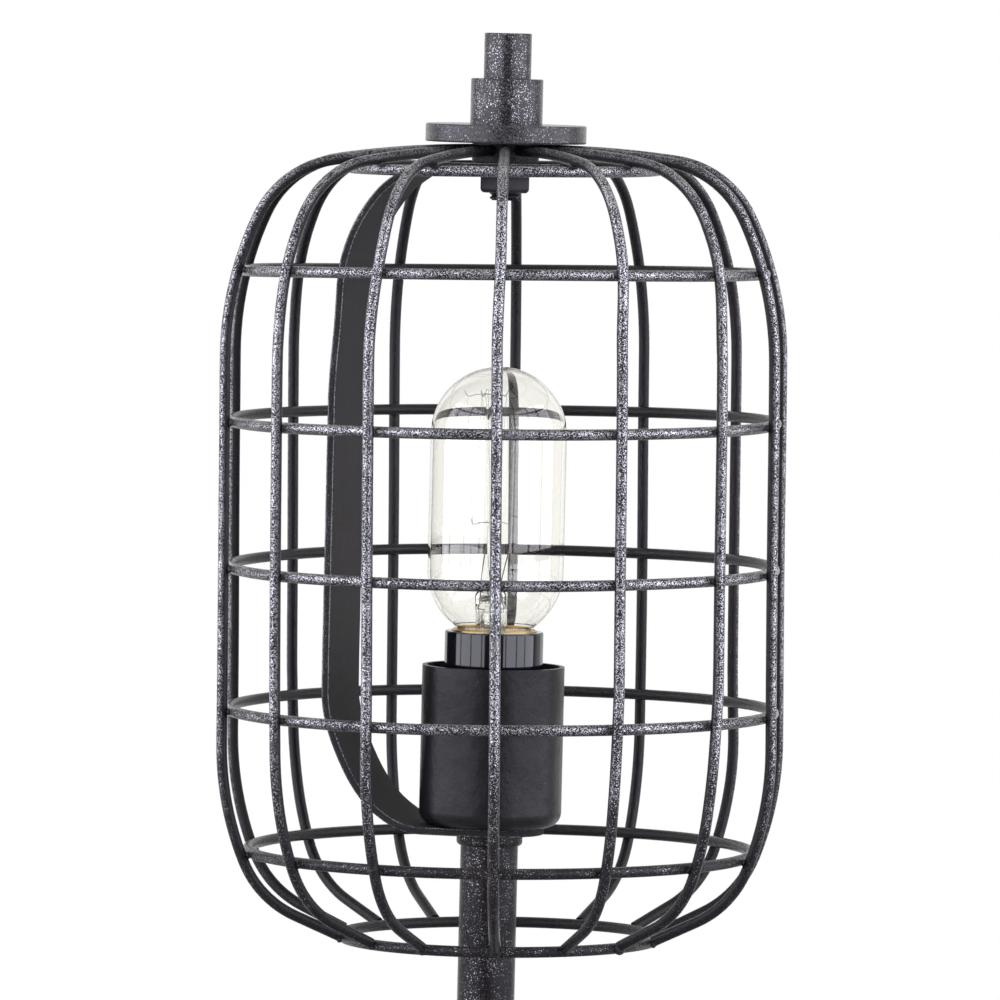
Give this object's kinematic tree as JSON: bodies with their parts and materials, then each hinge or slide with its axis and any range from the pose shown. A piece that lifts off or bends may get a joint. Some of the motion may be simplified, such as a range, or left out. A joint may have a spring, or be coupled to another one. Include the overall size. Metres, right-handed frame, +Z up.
{
  "type": "table lamp",
  "caption": "Table lamp with a bent wire cage round a tubular filament bulb, on a straight pole and a weighted round base; the cage lifts off when the finial is unscrewed.",
  "frame": {"origin": "on the pole's axis, at the underside of the felt pad", "axes": "+Z up along the pole; the harp strap stands on the -X side; the cord inlet is at +Y"},
  "size_m": [0.1906, 0.186, 0.546],
  "materials": {
    "speckled_black_paint": "black paint, dry-brushed with silver grey speckle",
    "charcoal_paint": "matt charcoal paint, worn paler at edges",
    "black_steel": "satin black",
    "cast_iron": "raw sand cast",
    "felt": "black felt",
    "rubber": "moulded matt",
    "zinc_steel": "zinc plated",
    "phenolic": "glossy black",
    "brass": "pressed brass",
    "black_glass": "fused black glass",
    "amber_glass": "clear with a faint amber tint",
    "clear_glass": "clear",
    "tungsten": "drawn wire",
    "copper_wire": "copper-clad wire"
  },
  "bodies": {
    "stand": {"base_pad": "felt", "base_weight": "cast_iron", "base_shell": "speckled_black_paint", "cord_grommet": "rubber", "base_washer": "zinc_steel", "base_hex_nut": "zinc_steel", "threaded_rod": "zinc_steel", "base_flange": "speckled_black_paint", "pole_foot_collar": "speckled_black_paint", "pole_tube": "speckled_black_paint", "pole_neck_ring": "speckled_black_paint", "harp_strap": "charcoal_paint", "socket_cup": "charcoal_paint", "socket_lock_nut": "zinc_steel", "socket_cap": "phenolic", "socket_body": "phenolic", "socket_screw_shell": "brass", "socket_centre_contact": "brass", "socket_terminal_screws": "brass", "finial_stud": "black_steel", "harp_washer": "black_steel", "harp_nut": "black_steel"},
    "cage": {"cage_hub": "speckled_black_paint", "cage_rib_01": "speckled_black_paint", "cage_rib_02": "speckled_black_paint", "cage_rib_03": "speckled_black_paint", "cage_rib_04": "speckled_black_paint", "cage_rib_05": "speckled_black_paint", "cage_rib_06": "speckled_black_paint", "cage_rib_07": "speckled_black_paint", "cage_rib_08": "speckled_black_paint", "cage_rib_09": "speckled_black_paint", "cage_rib_10": "speckled_black_paint", "cage_rib_11": "speckled_black_paint", "cage_rib_12": "speckled_black_paint", "cage_rib_13": "speckled_black_paint", "cage_rib_14": "speckled_black_paint", "cage_ring_top": "speckled_black_paint", "cage_ring_1": "speckled_black_paint", "cage_ring_2": "speckled_black_paint", "cage_ring_3": "speckled_black_paint", "cage_ring_4": "speckled_black_paint", "cage_ring_5": "speckled_black_paint", "cage_ring_bottom": "speckled_black_paint"},
    "finial_cap": {"top_disc": "speckled_black_paint", "finial_collar": "speckled_black_paint"},
    "finial_screw": {"finial_knob": "speckled_black_paint"},
    "bulb": {"bulb_glass": "amber_glass"},
    "bulb_screw": {"bulb_screw_base": "brass", "bulb_base_insulator": "black_glass", "bulb_tip_contact": "brass", "bulb_stem": "clear_glass", "bulb_lead_wires": "copper_wire", "bulb_support_wires": "tungsten", "bulb_filament": "tungsten"}
  },
  "joints": [
    {"name": "cage_lift", "type": "slide", "parent": "stand", "child": "cage", "axis": [0, 0, 1], "range_m": [0, 0.048]},
    {"name": "finial_rise", "type": "slide", "parent": "cage", "child": "finial_cap", "axis": [0, 0, 1], "range_m": [0, 0.01]},
    {"name": "finial_turn", "type": "hinge", "parent": "finial_cap", "child": "finial_screw", "pos_m": [0, 0, 0.531], "axis": [0, 0, 1], "range_deg": [0, 2400]},
    {"name": "bulb_rise", "type": "slide", "parent": "stand", "child": "bulb", "axis": [0, 0, 1], "range_m": [0, 0.0254]},
    {"name": "bulb_turn", "type": "hinge", "parent": "bulb", "child": "bulb_screw", "pos_m": [0, 0, 0.349], "axis": [0, 0, 1], "range_deg": [0, 2520]}
  ],
  "couplings": [
    {"joint": "finial_turn", "follows": "finial_rise", "rad_per_m": 4188.7},
    {"joint": "bulb_turn", "follows": "bulb_rise", "rad_per_m": 1731.5}
  ]
}
